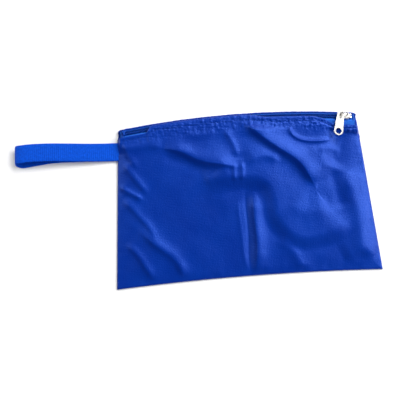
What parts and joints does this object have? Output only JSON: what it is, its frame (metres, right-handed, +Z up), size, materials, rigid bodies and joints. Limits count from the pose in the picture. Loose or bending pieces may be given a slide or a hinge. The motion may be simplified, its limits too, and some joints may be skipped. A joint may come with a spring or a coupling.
{
  "type": "cash deposit bag",
  "caption": "Flat coated-nylon deposit bag with a coil zipper along its top edge, a metal slider with a flat pull, and a webbing wrist loop in its side seam.",
  "frame": {"origin": "on the table under the middle of the bag's body", "axes": "+X along the zipper towards its closed end, +Y towards the zipper edge, +Z up from the table through the front panel"},
  "size_m": [0.3743, 0.1751, 0.0115],
  "materials": {
    "coated_nylon": "glossy coated plain weave, blue",
    "zip_tape": "woven polyester tape, bright blue",
    "zip_coil": "blue polyester coil",
    "thread": "blue polyester thread",
    "stop_metal": "satin",
    "zip_metal": "bright nickel plate",
    "webbing": "ribbed polypropylene webbing, bright blue"
  },
  "bodies": {
    "bag": {"front_panel": "coated_nylon", "back_panel": "coated_nylon", "front_zip_tape": "zip_tape", "back_zip_tape": "zip_tape", "front_coil": "zip_coil", "back_coil": "zip_coil", "front_coil_cord": "thread", "back_coil_cord": "thread", "front_coil_thread": "thread", "back_coil_thread": "thread", "front_top_stop": "stop_metal", "back_top_stop": "stop_metal", "bottom_stop": "stop_metal", "strap_tails": "webbing", "strap_bartack": "thread", "front_zip_stitching": "thread", "back_zip_stitching": "thread", "left_seam_stitching": "thread", "right_seam_stitching": "thread", "bottom_seam_stitching": "thread", "zip_end_tacks": "thread"},
    "slider": {"slider_body": "zip_metal"},
    "pull": {"pull_tab": "zip_metal"},
    "wrist_loop": {"wrist_strap": "webbing"}
  },
  "joints": [
    {"name": "slider_travel", "type": "hinge", "parent": "bag", "child": "slider", "pos_m": [0, -0.8952, 0.0055], "axis": [0, 0, 1], "range_deg": [0, 13]},
    {"name": "pull_swing", "type": "hinge", "parent": "slider", "child": "pull", "pos_m": [0.10927, 0.08083, 0.00918], "axis": [-0.2811, -0.2484, -0.927], "range_deg": [0, 86.4]},
    {"name": "loop_swing", "type": "hinge", "parent": "bag", "child": "wrist_loop", "pos_m": [-0.1329, 0.059, 0.0031], "axis": [0.0366, 0.9993, 0], "range_deg": [0, 140]}
  ]
}
